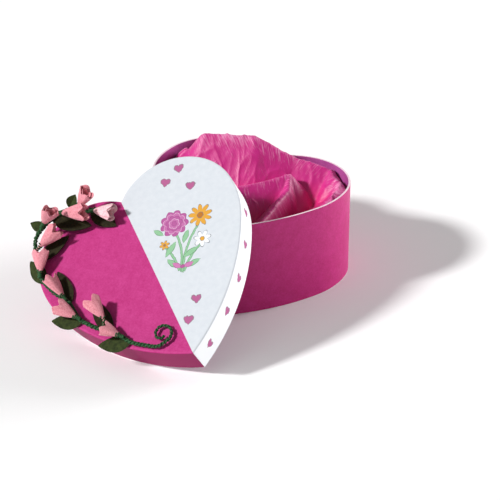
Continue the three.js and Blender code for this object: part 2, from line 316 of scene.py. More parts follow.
# %% Lamps and soft light
def lamp(name, direction, softness, strength):
    """A distant lamp shining from one direction. Softness is how wide it looks from the box, in degrees."""
    turn = (-Vector(direction)).to_track_quat("-Z", "Y").to_euler()
    bpy.ops.object.light_add(type="SUN", rotation=turn)
    obj = bpy.context.object
    obj.name = name
    obj.data.angle = math.radians(softness)
    obj.data.energy = strength


lamp("key_lamp", (-0.95, -1.15, 1.0), 7, 3.4)
lamp("back_right_soft_box", (0.62, 0.77, 0.17), 30, 3.6)
world = bpy.data.worlds.new("studio")
bpy.context.scene.world = world
world.use_nodes = True
world.node_tree.nodes["Background"].inputs["Color"].default_value = colour("#ffffff")
world.node_tree.nodes["Background"].inputs["Strength"].default_value = 0.25
bpy.context.scene.view_settings.view_transform = "Standard"

# %% [markdown]
# ## The box
# The real wall is a strip of card bent round a form and glued, so the outline is pulled up into a wall,
# thickened inwards, and its cut edges are rounded a little by the paint. The narrow first and last steps
# of the pull keep the smooth shading of the rounded edges off the tall faces. The thickening gives the
# inner side and the cut edge their own paint.

# %% Pulling up and thickening a wall
ROUNDED_FROM = math.radians(50)


def raise_wall(obj, heights):
    """Pulls an outline up in steps through a list of heights in mm."""
    bpy.context.view_layer.objects.active = obj
    edit("EDGE")
    bpy.ops.transform.translate(value=(0, 0, heights[0] * MM))
    for low, high in zip(heights, heights[1:]):
        bpy.ops.mesh.extrude_edges_move(TRANSFORM_OT_translate={"value": (0, 0, (high - low) * MM)})
    leave()
    face_out(obj)


def thicken(obj, materials):
    """Gives a shell of card its thickness, inwards, with paint for its outside, inside and cut edges."""
    for material in materials:
        obj.data.materials.append(material)
    modify(obj, "SOLIDIFY", thickness=BOARD * MM, offset=-1, use_even_offset=True, material_offset=1,
           material_offset_rim=2)


# %% The wall
box_wall = heart_line(0, step_mm=2.5)
raise_wall(box_wall, [0, 1, 30, 60, BOX_HEIGHT - 1, BOX_HEIGHT])
thicken(box_wall, [magenta_card, inside_card, cut_card])
modify(box_wall, "BEVEL", width=0.4 * MM, segments=2, limit_method="ANGLE", angle_limit=ROUNDED_FROM)
soften(box_wall)
finish_piece(box_wall, "box_card_wall", ["box_wall"])

# %% The floor board
box_floor = heart_line(-BOARD - GLUE_GAP)
edit("EDGE")
bpy.ops.mesh.edge_face_add()
bpy.ops.mesh.extrude_region_move(TRANSFORM_OT_translate={"value": (0, 0, BOARD * MM)})
leave()
face_out(box_floor)
modify(box_floor, "BEVEL", width=0.3 * MM, segments=1, limit_method="ANGLE", angle_limit=ROUNDED_FROM)
soften(box_floor)
finish_piece(box_floor, "box_card_floor", ["box_floor"], [inside_card])

# %% [markdown]
# ## Where the lid lies
# The lid stands with its lowest edge on the floor and straddles the tip of the box. It is modelled flat,
# with its face at z = 0, and then moved by the same turns as the solids: spun in its own plane, tilted
# about its foot, and turned a little on the floor.

# %% The lid's place
def turned(axis, degrees):
    return Matrix.Rotation(math.radians(degrees), 4, axis)


LID_TILT = 36.0164
LID_SPIN = 51.9
LID_HEADING = -3
LID_PLACE = (turned("Z", LID_HEADING) @ Matrix.Translation(Vector((-24.9747, -215.8889, 0)) * MM)
             @ turned("X", LID_TILT) @ Matrix.Translation(Vector((0, 101.5079, LID_DEPTH)) * MM)
             @ turned("Z", LID_SPIN))
print("lid face centre", [round(x, 4) for x in LID_PLACE.translation])

# %% [markdown]
# ## A small language for painting
# The lid is painted in two halves, with a flower spray and small hearts. Paint has no thickness worth
# modelling, so it is drawn in the material, in millimetres on the lid. A shape is a field that is below 1
# inside it. A Mapping node set to Texture carries the lid's coordinates into the frame of one shape. The
# rim's magenta is laid on darker than the face's as painted shade, and its white brighter as a painted
# highlight. The hearts' coordinates are shaken a little, so that no two are alike.

# %% Frames, small hearts and layers
def shape_frame(tree, place, centre, turn=(0, 0, 0), size=(1, 1, 1)):
    """The place in the frame of a shape, which is centred, turned and scaled to it, and its x, y and z."""
    local = add(tree, "Mapping", [("Vector", place), ("Location", centre), ("Rotation", turn),
                                  ("Scale", size)], vector_type="TEXTURE")
    x, y, z = add(tree, "SeparateXYZ", [(0, local)]).node.outputs
    return local, x, y, z


def heart_field(tree, place, centre, turn, half_width):
    """Below 1 inside a small heart, whose left and right halves mirror each other."""
    _, x, y, z = shape_frame(tree, place, centre, turn, (half_width,) * 3)
    side = add(tree, "Math", [(0, x)], operation="ABSOLUTE")
    root = add(tree, "Math", [(0, side)], operation="SQRT")
    dip = add(tree, "Math", [(0, root), (1, -0.8), (2, 0.15)], operation="MULTIPLY_ADD")
    lifted = add(tree, "Math", [(0, y), (1, 1.25), (2, dip)], operation="MULTIPLY_ADD")
    deep = add(tree, "Math", [(0, z), (1, 4.0)], operation="MULTIPLY")
    corner = add(tree, "CombineXYZ", [(0, x), (1, lifted), (2, deep)])
    return add(tree, "VectorMath", [(0, corner)], out=1, operation="LENGTH")


def lay_over(tree, under, over, field, edge=1.0, soft=0.04):
    """Lays one colour over another where a field is below an edge, with a soft border."""
    mask = add(tree, "MapRange", [("Value", field), ("From Min", edge + soft), ("From Max", edge - soft)])
    return add(tree, "Mix", [("Factor", mask), (6, under), (7, over)], out=2, data_type="RGBA")


# %% Places along the lid's edge
def along_edge(share, inset=0.0, side=1):
    """A point of the lid's edge by its share of the way from notch to tip: x, y and outward angle, in mm."""
    arcs = heart_arcs(LID_GROW)
    lengths = [radius * (start - end) for x, y, radius, start, end in arcs]
    rest = share * sum(lengths)
    for (x, y, radius, start, end), length in zip(arcs, lengths):
        if rest <= length:
            break
        rest -= length
    angle = start - min(rest, length) / radius
    px, py = x + (radius - inset) * math.cos(angle), y + (radius - inset) * math.sin(angle)
    return side * px, py, angle if side > 0 else math.pi - angle


# %% Magenta half, white half and rim
lid_paint, tree, shader = new_material("magenta and white acrylic on card", 0.5, Specular_IOR_Level=0.14)
object_place, magenta = card_surface(tree, shader, colour("#b52b74"), colour("#c63f88"))
lid_mm, across, _, depth = shape_frame(tree, object_place, LID_PLACE.translation, LID_PLACE.to_euler(),
                                       (MM, MM, MM))
white = add(tree, "Mix", [("Factor", add(tree, "TexNoise", [("Vector", lid_mm), ("Scale", 0.2)])),
                          (6, colour("#cbd1d8")), (7, colour("#dbdfe4"))], out=2, data_type="RGBA")
wobble = add(tree, "TexNoise", [("Vector", lid_mm), ("Scale", 0.5)])
wavy = add(tree, "Math", [(0, wobble), (1, 0.5), (2, across)], operation="MULTIPLY_ADD")
white_half = add(tree, "MapRange", [("Value", wavy), ("From Min", 0.1), ("From Max", 0.4)])
# Painted shade and highlight: below the top edge the magenta is painted darker and the white brighter, for
# how the light falls on the rim.
below_edge = add(tree, "MapRange", [("Value", depth), ("From Min", -0.6), ("From Max", -1.6)])
magenta_with_painted_rim_shade = add(tree, "Mix", [("Factor", below_edge), (6, magenta), (7, colour("#96145a"))], out=2,
               data_type="RGBA")
white_with_painted_rim_highlight = add(tree, "Mix", [("Factor", below_edge), (6, white), (7, colour("#eceef2"))], out=2,
                  data_type="RGBA")
coat = add(tree, "Mix", [("Factor", white_half), (6, magenta_with_painted_rim_shade), (7, white_with_painted_rim_highlight)], out=2, data_type="RGBA")
print("the lid is painted from", [round(x, 4) for x in LID_PLACE.translation])

# %% A hand that isn't quite steady
unsteady = add(tree, "TexNoise", [("Vector", lid_mm), ("Scale", 0.35), ("Detail", 2.0)], out=1)
offset = add(tree, "VectorMath", [(0, unsteady), (1, (0.5, 0.5, 0.5))], operation="SUBTRACT")
heart_mm = add(tree, "VectorMath", [(0, offset), (1, (2.6, 2.6, 2.6)), (2, lid_mm)], operation="MULTIPLY_ADD")

# %% Small hearts on the face and the rim
FACE_HEARTS = [(59.8, 39.2, -16), (43, 33, -34), (61.8, 16.3, -30), (22.5, -92.3, -22), (8.4, -107.2, -28)]
RIM_HEARTS = [0.109, 0.214, 0.319, 0.424, 0.529, 0.634, 0.739, 0.843, 0.948]
HEART_HALF_WIDTH = 4.6
RIM_HEART_SHARE = 0.9
HEART_PEN_EDGE, HEART_FILL_EDGE = 1.06, 0.88
fields = [heart_field(tree, heart_mm, (x, y, 0), (0, 0, math.radians(turn)), HEART_HALF_WIDTH)
          for x, y, turn in FACE_HEARTS]
for number, share in enumerate(RIM_HEARTS):
    x, y, angle = along_edge(share)
    upright = Matrix(((0, -math.sin(angle), math.cos(angle)), (0, math.cos(angle), math.sin(angle)),
                      (-1, 0, 0))) @ Matrix.Rotation(0.2 * math.sin(3.1 * number), 3, "Z")
    fields.append(heart_field(tree, heart_mm, (x, y, -LID_DEPTH / 2), upright.to_euler(),
                              HEART_HALF_WIDTH * RIM_HEART_SHARE))
nearest = fields[0]
for field in fields[1:]:
    nearest = add(tree, "Math", [(0, nearest), (1, field)], operation="MINIMUM")
coat = lay_over(tree, coat, colour("#8f7684"), nearest, HEART_PEN_EDGE)
coat = lay_over(tree, coat, colour("#b3608f"), nearest, HEART_FILL_EDGE)
print("painted", len(fields), "small hearts")

# %% [markdown]
# ## The flower spray
# The white half carries a plain posy in soft colours with thin pen lines: a full pink blossom, golden
# daisies, a small white one, stems, leaves and a bow. Petals are a circle whose edge waves with the
# angle, a leaf is a strip that narrows to both ends, and a stem is a thin bowed line. Each shape is
# painted over the last, first its pen line and then its colour.

# %% Fields for petals, leaves and stems
PEN = 0.45
PEN_BLUR = 0.1


def petals_field(tree, place, centre, radius, petals, depth, turn=0.0):
    """Below 1 inside a round flower with this many petals."""
    local, x, y, _ = shape_frame(tree, place, (*centre, 0), (0, 0, turn), (radius,) * 3)
    angle = add(tree, "Math", [(0, y), (1, x)], operation="ARCTAN2")
    phase = add(tree, "Math", [(0, angle), (1, petals / 2)], operation="MULTIPLY")
    swing = add(tree, "Math", [(0, phase)], operation="COSINE")
    lobe = add(tree, "Math", [(0, swing)], operation="ABSOLUTE")
    edge = add(tree, "Math", [(0, lobe), (1, depth), (2, 1 - depth)], operation="MULTIPLY_ADD")
    reach = add(tree, "VectorMath", [(0, local)], out=1, operation="LENGTH")
    return add(tree, "Math", [(0, reach), (1, edge)], operation="DIVIDE")


def leaf_field(tree, place, centre, turn, half_length, half_width):
    """Below 1 inside a pointed oval."""
    _, x, y, _ = shape_frame(tree, place, (*centre, 0), (0, 0, math.radians(turn)),
                             (half_length, half_width, 1))
    square = add(tree, "Math", [(0, x), (1, x)], operation="MULTIPLY")
    bow = add(tree, "Math", [(0, 1.0), (1, square)], operation="SUBTRACT")
    room = add(tree, "Math", [(0, bow), (1, 0.01)], operation="MAXIMUM")
    side = add(tree, "Math", [(0, y)], operation="ABSOLUTE")
    thin = add(tree, "Math", [(0, side), (1, room)], operation="DIVIDE")
    far = add(tree, "Math", [(0, x)], operation="ABSOLUTE")
    blunt = half_length / half_width
    end = add(tree, "Math", [(0, far), (1, blunt), (2, 1 - blunt)], operation="MULTIPLY_ADD")
    return add(tree, "Math", [(0, thin), (1, end)], operation="MAXIMUM")


def stem_field(tree, place, top, foot, bend, half_width):
    """Below 1 inside a thin line from top to foot that bows to one side."""
    run = Vector(top) - Vector(foot)
    middle = (Vector(top) + Vector(foot)) / 2
    turn = math.atan2(run.y, run.x) - math.pi / 2
    _, x, y, _ = shape_frame(tree, place, (*middle, 0), (0, 0, turn), (1, run.length / 2, 1))
    square = add(tree, "Math", [(0, y), (1, y)], operation="MULTIPLY")
    bow = add(tree, "Math", [(0, square), (1, bend), (2, -bend)], operation="MULTIPLY_ADD")
    away = add(tree, "Math", [(0, x), (1, bow)], operation="ADD")
    side = add(tree, "Math", [(0, away)], operation="ABSOLUTE")
    thin = add(tree, "Math", [(0, side), (1, half_width)], operation="DIVIDE")
    far = add(tree, "Math", [(0, y)], operation="ABSOLUTE")
    blunt = run.length / 2 / half_width
    end = add(tree, "Math", [(0, far), (1, blunt), (2, 1 - blunt)], operation="MULTIPLY_ADD")
    return add(tree, "Math", [(0, thin), (1, end)], operation="MAXIMUM")


def paint_shape(tree, coat, field, size, fill, pen):
    """Lays a pen line of even width and then the colour inside it."""
    coat = lay_over(tree, coat, pen, field, 1.0, PEN_BLUR / size)
    return lay_over(tree, coat, fill, field, 1 - PEN / size, PEN_BLUR / size)


# %% The posy's place and colours
POSY_PLACE = (37.0, -29.0, 0.0)
POSY_TURN = math.radians(-28)
posy_mm = shape_frame(tree, lid_mm, POSY_PLACE, (0, 0, POSY_TURN))[0]
quiver = add(tree, "TexNoise", [("Vector", posy_mm), ("Scale", 0.22), ("Detail", 2.0)], out=1)
shaken = add(tree, "VectorMath", [(0, quiver), (1, (0.5, 0.5, 0.5))], operation="SUBTRACT")
posy_mm = add(tree, "VectorMath", [(0, shaken), (1, (1.8, 1.8, 0)), (2, posy_mm)], operation="MULTIPLY_ADD")
grey_pen, green_pen, plum_pen = colour("#6f747b"), colour("#4f7d57"), colour("#96497f")
leaf_wash, gold, deep_gold = colour("#8fc096"), colour("#dda23f"), colour("#b8742a")
print("posy centre on the lid", POSY_PLACE, "mm")

# %% Paint the stems and leaves
POSY_STEMS = [((-9, 6), (0, -34), 3.0), ((12, 12), (1.5, -35), -3.5), ((16, -8), (3, -34), -2.0),
              ((-17, -8), (-1.5, -33), 1.5)]
POSY_LEAVES = [(-12, -11, 60, 8.5, 3), (7.5, -15, 35, 8, 2.8), (-9, -25, 140, 7, 2.6), (11, -26, 30, 7, 2.6),
               (1, 1, 75, 7, 2.6), (-25, 7, 150, 6, 2.4)]
STEM_HALF_WIDTH, STEM_PEN_SIZE = 1.15, 1.6
for top, foot, bend in POSY_STEMS:
    field = stem_field(tree, posy_mm, top, foot, bend, STEM_HALF_WIDTH)
    coat = paint_shape(tree, coat, field, STEM_PEN_SIZE, leaf_wash, green_pen)
for x, y, turn, half_length, half_width in POSY_LEAVES:
    field = leaf_field(tree, posy_mm, (x, y), turn, half_length, half_width)
    coat = paint_shape(tree, coat, field, half_width, leaf_wash, green_pen)
print(len(POSY_STEMS), "painted stems and", len(POSY_LEAVES), "leaves")

# %% Paint the flowers and the bow
BLOSSOM_PLACE, BLOSSOM_RADIUS, BLOSSOM_RINGS = (-11, 15), 13.5, 5
POSY_DAISIES = [(13, 21, 11.5, 9, "#dda23f", deep_gold), (17, -3, 8.5, 7, "#eceff3", gold),
                (-18, -6, 5, 6, "#dda23f", deep_gold)]
DAISY_PEN_SHARE, EYE_SHARE = 0.7, 0.28
BOW_LENGTH, BOW_WIDTH, KNOT_RADIUS = 5.2, 2.4, 1.9
for ring in range(BLOSSOM_RINGS):
    radius = BLOSSOM_RADIUS * (1 - ring / BLOSSOM_RINGS)
    field = petals_field(tree, posy_mm, BLOSSOM_PLACE, radius, 9 - ring, 0.2, 0.6 * ring)
    coat = paint_shape(tree, coat, field, radius, colour("#bf6fa6" if ring % 2 else "#b25c98"),
                       colour("#e2bfd8") if ring % 2 else plum_pen)
for x, y, radius, petals, petal_colour, eye_colour in POSY_DAISIES:
    field = petals_field(tree, posy_mm, (x, y), radius, petals, 0.5, 0.3)
    coat = paint_shape(tree, coat, field, radius * DAISY_PEN_SHARE, colour(petal_colour), grey_pen)
    eye = petals_field(tree, posy_mm, (x, y), radius * EYE_SHARE, 6, 0.1)
    coat = paint_shape(tree, coat, eye, radius * EYE_SHARE, eye_colour, grey_pen)
for x, y, turn in [(-4.3, -27.5, 155), (6.3, -27.5, 25)]:
    bow_loop = leaf_field(tree, posy_mm, (x, y), turn, BOW_LENGTH, BOW_WIDTH)
    coat = paint_shape(tree, coat, bow_loop, BOW_WIDTH, colour("#c87aae"), plum_pen)
knot = petals_field(tree, posy_mm, (1, -29), KNOT_RADIUS, 4, 0.1)
coat = paint_shape(tree, coat, knot, KNOT_RADIUS, colour("#b25c98"), plum_pen)
tree.links.new(coat, shader.inputs["Base Color"])
print("the lid's paint has", len(tree.nodes), "nodes")

# %% [markdown]
# ## The lid
# Rim strip and top board are glued and painted over, so no joint shows and one shell stands for both. The
# outline is filled, pulled down, opened at the bottom and thickened inwards. The top edge is rounded more
# than the cut edge, as thick paint over folded card is. A narrow inset on the face stops the rounding
# from shading the whole face.

# %% Lid shell
STEP_UNDER_FACE, STEP_AT_FOOT = 1.5, 1
FOLD_ROUNDING, CUT_ROUNDING, FACE_INSET = 1.1, 0.4, 0.6
FACE_LEVEL = -0.01 * MM
lid = heart_line(LID_GROW, step_mm=2.5)
edit("EDGE")
bpy.ops.mesh.edge_face_add()
for drop in (STEP_UNDER_FACE, LID_DEPTH - STEP_UNDER_FACE - STEP_AT_FOOT, STEP_AT_FOOT):
    bpy.ops.mesh.extrude_region_move(TRANSFORM_OT_translate={"value": (0, 0, -drop * MM)})
bpy.ops.mesh.delete(type="ONLY_FACE")
leave()
face_out(lid)
thicken(lid, [lid_paint, inside_card, cut_card])
pick_edges(lid, lambda p: p.z > FACE_LEVEL)
bpy.ops.mesh.bevel(offset=FOLD_ROUNDING * MM, segments=3, affect="EDGES")
leave()
pick_faces(lid, lambda c, n: n.z > 0.999 and c.z > FACE_LEVEL)
bpy.ops.mesh.inset(thickness=FACE_INSET * MM)
leave()
modify(lid, "BEVEL", width=CUT_ROUNDING * MM, segments=2, limit_method="ANGLE", angle_limit=ROUNDED_FROM)
settle(lid, LID_PLACE)
soften(lid)
finish_piece(lid, "lid_painted_shell", ["lid_rim", "lid_panel"])

# %% [markdown]
# ## The tissue
# Tissue paper crumples into straight creases between smooth, slightly hollow faces. Where the photograph
# shows a crease, a ridge runs between two points and the paper falls away on both sides. The sheet starts
# as the box's inner outline, is pulled inwards in many rings, and then each point is lifted to the
# highest ridge that reaches it. Noise adds the smaller crumples. A cloth simulation would round the sharp
# creases off.

# %% Heights of the creases
RIDGES = [
    ((-0.61, 0.07), (-0.14, 0.24), (22, 24), (1.3, 1.3), -0.9),
    ((-0.14, 0.24), (0.26, 0.37), (24, 5), (1.3, 1.3), -0.5),
    ((0.26, 0.37), (0.6, 0.45), (5, -2), (1.2, 1.2), 0.6),
    ((0.6, 0.45), (0.86, 0.23), (-2, -6), (1.2, 1.2), 0.6),
    ((0.86, 0.23), (0.84, -0.25), (-6, -13), (1.0, 1.0), 0.9),
    ((-0.85, 0.09), (-0.41, -0.05), (0, 3), (1.4, 1.4), 0.8),
    ((0, -0.3), (0.33, 0.12), (-4, -1), (1.25, 1.25), 0.1),
    ((0.33, 0.12), (0.41, -0.04), (-1, -7), (2.6, 1.25), 0.1),
    ((0.41, -0.04), (0.43, -0.6), (-7, -17), (3.4, 1.2), 0.4),
    ((-0.7, -0.25), (-0.25, -0.6), (-10, -25), (1.3, 1.3), 0.8),
]
PAPER_MM = 0.3
TISSUE_GAP = 1
TISSUE_RINGS = 76
TISSUE_LEAST = 0.4
HUB = np.array([0.0, -0.15 * BOX_WIDTH])
CREASE_ROUNDING = 2.2
LOWEST_PAPER = BOARD + GLUE_GAP + 1.2
FAR_FROM_CREASES = 40.0


def crease_heights(points):
    """For each x, y place: the height in mm of the highest ridge there, how far along it (leaning with the
    paper's fibres) and how far off it."""
    best = np.full(len(points), LOWEST_PAPER)
    along = np.zeros(len(points))
    off = np.full(len(points), FAR_FROM_CREASES)
    for number, (start, end, rise, slope, lean) in enumerate(RIDGES):
        a, b = np.array(start) * BOX_WIDTH / 2, np.array(end) * BOX_WIDTH / 2
        share = np.clip((points - a) @ (b - a) / ((b - a) @ (b - a)), 0, 1)
        away = np.linalg.norm(points - a - share[:, None] * (b - a), axis=1)
        fall = np.hypot(away, CREASE_ROUNDING) - CREASE_ROUNDING
        run, to = b - a, points - a
        steepness = np.where(run[0] * to[:, 1] - run[1] * to[:, 0] > 0, slope[0], slope[1])
        height = BOX_HEIGHT + rise[0] + (rise[1] - rise[0]) * share - steepness * fall
        higher = height > best
        best[higher] = height[higher]
        along[higher] = (to @ run / np.linalg.norm(run) + 100 * number + lean * away)[higher]
        off[higher] = away[higher]
    return best, along, off


# %% Small crumples between the creases
def crumple(x, y):
    """Small straight creases and soft dents of crumpled paper, in mm. They are stronger by the right wall."""
    broad = noise.noise(Vector((x / 21, y / 21, 2.2)))
    crease = (1 - abs(noise.noise(Vector((x / 17, y / 23, 0.4))))) ** 9
    fine = (1 - abs(noise.noise(Vector((x / 8, y / 10, 5.1))))) ** 8
    by_wall = min(1.0, max(0.0, (x - 50) / 18))
    return 1.5 * broad + (1.3 + 1.2 * by_wall) * crease + (0.5 + 1.0 * by_wall) * fine - 0.8 - by_wall


# %% Tissue sheet
tissue = heart_line(-BOARD - TISSUE_GAP, step_mm=1.5)
edit("EDGE")
for ring in range(TISSUE_RINGS):
    bpy.ops.mesh.extrude_edges_move()
    left = TISSUE_RINGS - ring
    shrink = (left - 1 + TISSUE_LEAST) / (left + TISSUE_LEAST)
    bpy.ops.transform.resize(value=(shrink, shrink, 1), center_override=(HUB[0] * MM, HUB[1] * MM, 0))
bpy.ops.mesh.edge_face_add()
leave()
face_out(tissue)
if tissue.data.polygons[0].normal.z < 0:
    tissue.data.flip_normals()
flat_points = np.array([v.co[:2] for v in tissue.data.vertices]) / MM
heights, crease_along, crease_off = crease_heights(flat_points)
for vertex, height in zip(tissue.data.vertices, heights):
    vertex.co.z = (height + crumple(vertex.co.x / MM, vertex.co.y / MM)) * MM
print("tissue reaches", round(max(heights), 1), "mm above the table")

# %% Map of the folds, and the paper's thickness
fold_map = tissue.data.uv_layers[0] if tissue.data.uv_layers else tissue.data.uv_layers.new(name="folds")
fold_map.name = "folds"
for loop, corner in zip(tissue.data.loops, fold_map.data):
    corner.uv = (crease_along[loop.vertex_index], crease_off[loop.vertex_index])
tissue_area = sum(f.area for f in tissue.data.polygons)
modify(tissue, "SOLIDIFY", thickness=PAPER_MM * MM, offset=-1)
soften(tissue, 60)

# %% [markdown]
# ## Dyed tissue paper
# Tissue paper is thin and unsized, so a crease breaks its fibres and shows as pale streaks across the
# fold, while the smooth faces stay deep magenta with a faint gloss. The sheet's own map holds, for each
# point, how far it is along its crease and how far off it, in millimetres. Streaks run across the crease
# and fade away from it. They are made stronger on the high crest and beside the right wall as a painted
# highlight, and the deep hollows are painted redder as painted bounce light.

# %% Pale streaks across the creases, with painted highlight
tissue_paper, tree, shader = new_material("magenta tissue paper", 0.42, Specular_IOR_Level=0.45,
                                          Sheen_Weight=0.15, Sheen_Roughness=0.4)
place = add(tree, "TexCoord", out=3)
folds = add(tree, "UVMap", uv_map="folds")
off_crease = add(tree, "SeparateXYZ", [(0, folds)], out=1)
stretched = add(tree, "Mapping", [("Vector", folds), ("Scale", (0.75, 0.1, 1))])
fibre = add(tree, "TexNoise", [("Vector", stretched), ("Scale", 1.0), ("Detail", 6.0), ("Roughness", 0.68)])
near = add(tree, "MapRange", [("Value", off_crease), ("From Min", 15.0), ("From Max", 1.0)])
patchy = add(tree, "TexNoise", [("Vector", place), ("Scale", cycles_per_metre(17)), ("Detail", 3.0)])
east = add(tree, "SeparateXYZ", [(0, place)], out=0)
height = add(tree, "SeparateXYZ", [(0, place)], out=2)
# Painted highlight: the pale streaks are made stronger high on the crest and beside the right wall, where the
# light falls. Near a crease they also stand for broken fibres.
high_up = add(tree, "MapRange", [("Value", height), ("From Min", 0.08), ("From Max", 0.1), ("To Min", 0.4)])
by_wall = add(tree, "MapRange", [("Value", east), ("From Min", 0.052), ("From Max", 0.07)])
crest_and_wall_painted_highlight = add(tree, "Math", [(0, high_up), (1, by_wall)], operation="MAXIMUM")
crease_and_painted_highlight = add(tree, "Math", [(0, near), (1, crest_and_wall_painted_highlight)], operation="MULTIPLY")
strength = add(tree, "Math", [(0, crease_and_painted_highlight), (1, patchy)], operation="MULTIPLY")
lifted = add(tree, "Math", [(0, strength), (1, 0.39), (2, fibre)], operation="MULTIPLY_ADD")
streak = add(tree, "MapRange", [("Value", lifted), ("From Min", 0.6), ("From Max", 0.86)])
print("streaks are placed by", folds.node.name)

# %% Dye, painted bounce light, wrinkles and the finished sheet
cloud = add(tree, "TexNoise", [("Vector", place), ("Scale", cycles_per_metre(11)), ("Detail", 4.0)])
base = add(tree, "Mix", [("Factor", cloud), (6, colour("#bf1674")), (7, colour("#d52c8e"))], out=2,
           data_type="RGBA")
# Painted bounce light: the low hollows are painted a redder magenta.
hollow_painted_bounce_share = add(tree, "MapRange", [("Value", height), ("From Min", 0.08), ("From Max", 0.055)])
deep = add(tree, "Mix", [("Factor", hollow_painted_bounce_share), (6, base), (7, colour("#d81d68"))], out=2, data_type="RGBA")
dye = add(tree, "Mix", [("Factor", streak), (6, deep), (7, colour("#f0a3ca"))], out=2, data_type="RGBA")
tree.links.new(dye, shader.inputs["Base Color"])
wrinkle = add(tree, "Mapping", [("Vector", place), ("Rotation", (0.2, 0.3, 0.9)),
                                ("Scale", (420, 1400, 300))])
fine = add(tree, "TexNoise", [("Vector", wrinkle), ("Scale", 1.0), ("Detail", 4.0)])
bump = add(tree, "Bump", [("Strength", 0.5), ("Distance", 0.35 * MM), ("Height", fine)])
ribs = add(tree, "Bump", [("Strength", 0.6), ("Distance", 0.5 * MM), ("Height", fibre), ("Normal", bump)])
tree.links.new(ribs, shader.inputs["Normal"])
finish_piece(tissue, "tissue_sheet", ["tissue_paper"], [tissue_paper])
print("tissue area", round(tissue_area, 4), "square metres")

# %% [markdown]
# ## The garland's stem
# The stem is florists' wire wrapped in green paper, several strands twisted together. It keeps to the
# edge of the lid, arches off it round the lobe and ends in a curl. The route is the one of the solids:
# points by their share of the way from notch to tip, joined by a smooth curve. Three strands wind round
# it, two thick ones and a thin one the other way. Crepe paper is dull, mottled and a little rough, so the
# green varies and has a bump.

# %% Points of the stem's route
STEM_RADIUS = 1.3
STEM_LIE = 2.3
STEM_CLEARANCE = 0.4
STEM_ROUTE = [
    (0.089, 11, 1), (0.121, 9, 3), (0.15, 3, 6), (0.199, 0.5, 8), (0.245, -1, 9), (0.282, -3, 8),
    (0.315, -2, 3), (0.346, 2, 1), (0.405, 3.5, 0.5), (0.485, 9.5, 0.5), (0.552, 13, 1), (0.622, 6.5, 1),
    (0.69, 6.5, 1), (0.773, 7, 1), (0.813, 4, 1), (0.85, 4, 0.5), (0.896, 4.5, 0),
]
CURL_RADIUS = 8.7
CURL_REACH = 8
CURL_STEPS = 16
CURL_START, CURL_SWEEP = -95, 385
CURL_TIGHTENING = 0.7


def stem_points():
    points = []
    for share, inset, rise in STEM_ROUTE:
        x, y, angle = along_edge(share, inset, side=-1)
        points.append(Vector((x, y, STEM_RADIUS + STEM_LIE + rise)))
    centre = points[-1] + Vector((CURL_REACH, CURL_RADIUS, 0))
    for k in range(CURL_STEPS + 1):
        angle = math.radians(CURL_START + CURL_SWEEP * k / CURL_STEPS)
        radius = CURL_RADIUS * (1 - CURL_TIGHTENING * (k / CURL_STEPS) ** 2)
        points.append(centre + Vector((radius * math.cos(angle), radius * math.sin(angle), 0)))
    return points


# %% A smooth line through the points
def through(points, share):
    """A point of the centripetal Catmull-Rom curve through some points."""
    span = (len(points) - 1) * share
    i = min(int(span), len(points) - 2)
    t = span - i
    b, c = points[i], points[i + 1]
    a = points[i - 1] if i else 2 * b - c
    d = points[i + 2] if i + 2 < len(points) else 2 * c - b
    ab, bc, cd = (math.sqrt((q - p).length) for p, q in ((a, b), (b, c), (c, d)))
    leave_b = ((b - a) / ab - (c - a) / (ab + bc) + (c - b) / bc) * bc
    reach_c = ((c - b) / bc - (d - b) / (bc + cd) + (d - c) / cd) * bc
    return (b + leave_b * t + (3 * (c - b) - 2 * leave_b - reach_c) * t * t
            + (2 * (b - c) + leave_b + reach_c) * t ** 3)


LINE_STEPS = 900
knots = stem_points()
stem_line = [through(knots, k / LINE_STEPS) for k in range(LINE_STEPS + 1)]
stem_reach = [0.0]
for p, q in zip(stem_line, stem_line[1:]):
    stem_reach.append(stem_reach[-1] + (q - p).length)


def stem_at(share):
    """The point of the stem at a share of its length, and its direction there."""
    wanted = share * stem_reach[-1]
    i = min(max(int(np.searchsorted(stem_reach, wanted)), 1), len(stem_line) - 1)
    part = (wanted - stem_reach[i - 1]) / (stem_reach[i] - stem_reach[i - 1])
    return stem_line[i - 1].lerp(stem_line[i], part), (stem_line[i] - stem_line[i - 1]).normalized()


print("stem length", round(stem_reach[-1], 1), "mm")


# %% A tube along a line
def tube(name, points, radii, sides=5):
    """A closed tube along a line, its radius given at each point, all in mm. A curve is given a round
    bevel and is then made a mesh."""
    deselect()
    curve = bpy.data.curves.new(name, "CURVE")
    curve.dimensions = "3D"
    curve.bevel_depth = MM
    curve.bevel_resolution = sides // 2 - 1
    curve.use_fill_caps = True
    spline = curve.splines.new("POLY")
    spline.points.add(len(points) - 1)
    for knot, place, radius in zip(spline.points, points, radii):
        knot.co = (*(place * MM), 1)
        knot.radius = radius
    obj = bpy.data.objects.new(name, curve)
    bpy.context.collection.objects.link(obj)
    obj.select_set(True)
    bpy.context.view_layer.objects.active = obj
    bpy.ops.object.convert(target="MESH")
    return bpy.context.object


# %% One strand of the stem
SLIM_FROM, SLIM_BY = 0.72, 0.35


def strand(phase, pitch, spread, thickness, first=0.0, last=1.0, steps=700):
    """One strand winding round the stem. Its distance and thickness waver as hand-twisted paper does."""
    points, radii = [], []
    for k in range(steps + 1):
        share = first + (last - first) * k / steps
        middle, forward = stem_at(share)
        side = forward.cross(Vector((0, 0, 1))).normalized()
        turn = phase + 2 * math.pi * share * stem_reach[-1] / pitch
        waver = noise.noise(Vector((share * 90, phase, 0)))
        slim = 1 - SLIM_BY * max(0.0, (share - SLIM_FROM) / (1 - SLIM_FROM))
        reach = spread * slim * (1 + 0.25 * waver)
        points.append(middle + side * reach * math.cos(turn) + side.cross(forward) * reach * math.sin(turn))
        radii.append(thickness * slim * (1 + 0.3 * noise.noise(Vector((share * 160, phase + 3, 1)))))
    return tube("strand", points, radii)


